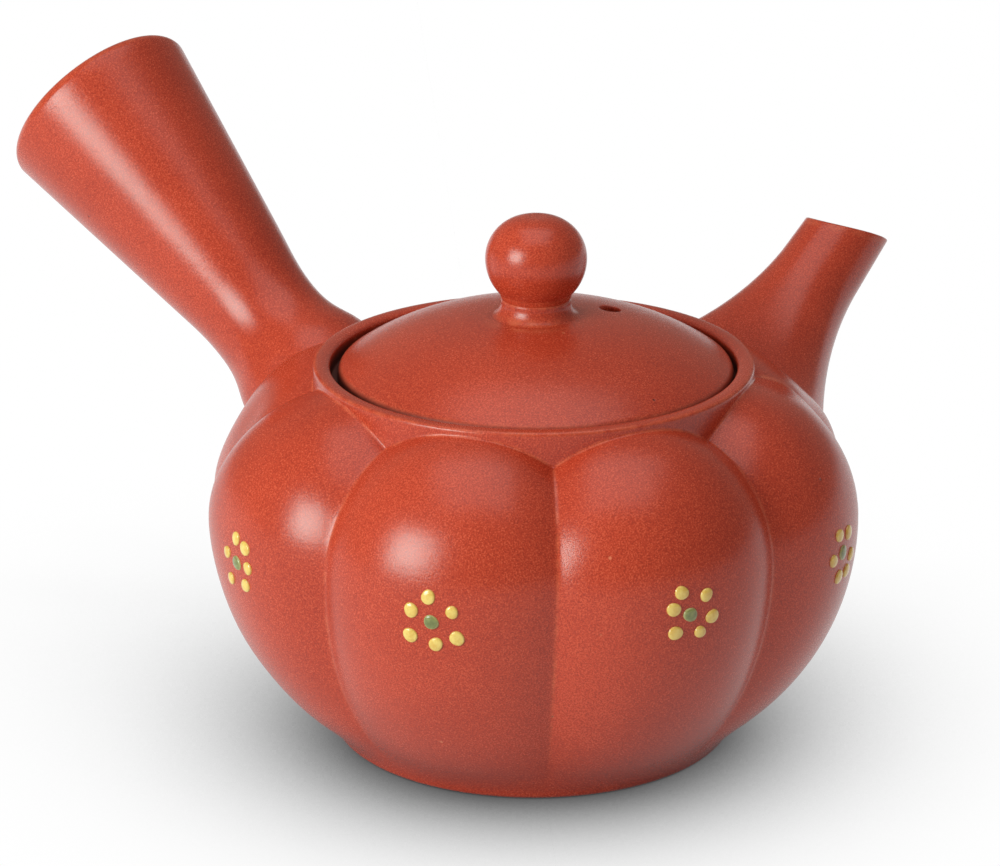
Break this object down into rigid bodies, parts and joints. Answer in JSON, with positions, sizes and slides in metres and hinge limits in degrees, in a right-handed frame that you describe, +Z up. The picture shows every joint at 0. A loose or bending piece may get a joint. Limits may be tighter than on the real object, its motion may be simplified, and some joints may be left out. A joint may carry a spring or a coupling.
{
  "type": "side-handled teapot",
  "caption": "Unglazed red clay kyusu teapot with a lobed body, hollow side handle, spread-rooted spout with inner strainer, sunk lid with ball knob and enamel dot flowers.",
  "frame": {"origin": "middle of the foot, on the surface that the pot stands on", "axes": "+Z up, +X towards the mouth of the spout, +Y towards the end of the handle"},
  "size_m": [0.1354, 0.1562, 0.0967],
  "materials": {
    "clay": "unglazed fine red clay, semi-matt from polishing",
    "yellow_enamel": "raised overglaze enamel dots, glossy, ochre yellow",
    "green_enamel": "raised overglaze enamel dot, glossy, olive green"
  },
  "bodies": {
    "pot": {"body": "clay", "spout": "clay", "strainer": "clay", "handle": "clay", "flower_1_petals": "yellow_enamel", "flower_2_petals": "yellow_enamel", "flower_3_petals": "yellow_enamel", "flower_4_petals": "yellow_enamel", "flower_5_petals": "yellow_enamel", "flower_6_petals": "yellow_enamel", "flower_7_petals": "yellow_enamel", "flower_8_petals": "yellow_enamel", "flower_1_middle": "green_enamel", "flower_2_middle": "green_enamel", "flower_3_middle": "green_enamel", "flower_4_middle": "green_enamel", "flower_5_middle": "green_enamel", "flower_6_middle": "green_enamel", "flower_7_middle": "green_enamel", "flower_8_middle": "green_enamel"},
    "lid": {"lid": "clay", "knob": "clay"}
  },
  "joints": [
    {"name": "lid_lift", "type": "slide", "parent": "pot", "child": "lid", "axis": [0, 0, 1], "range_m": [0, 0.06]}
  ]
}
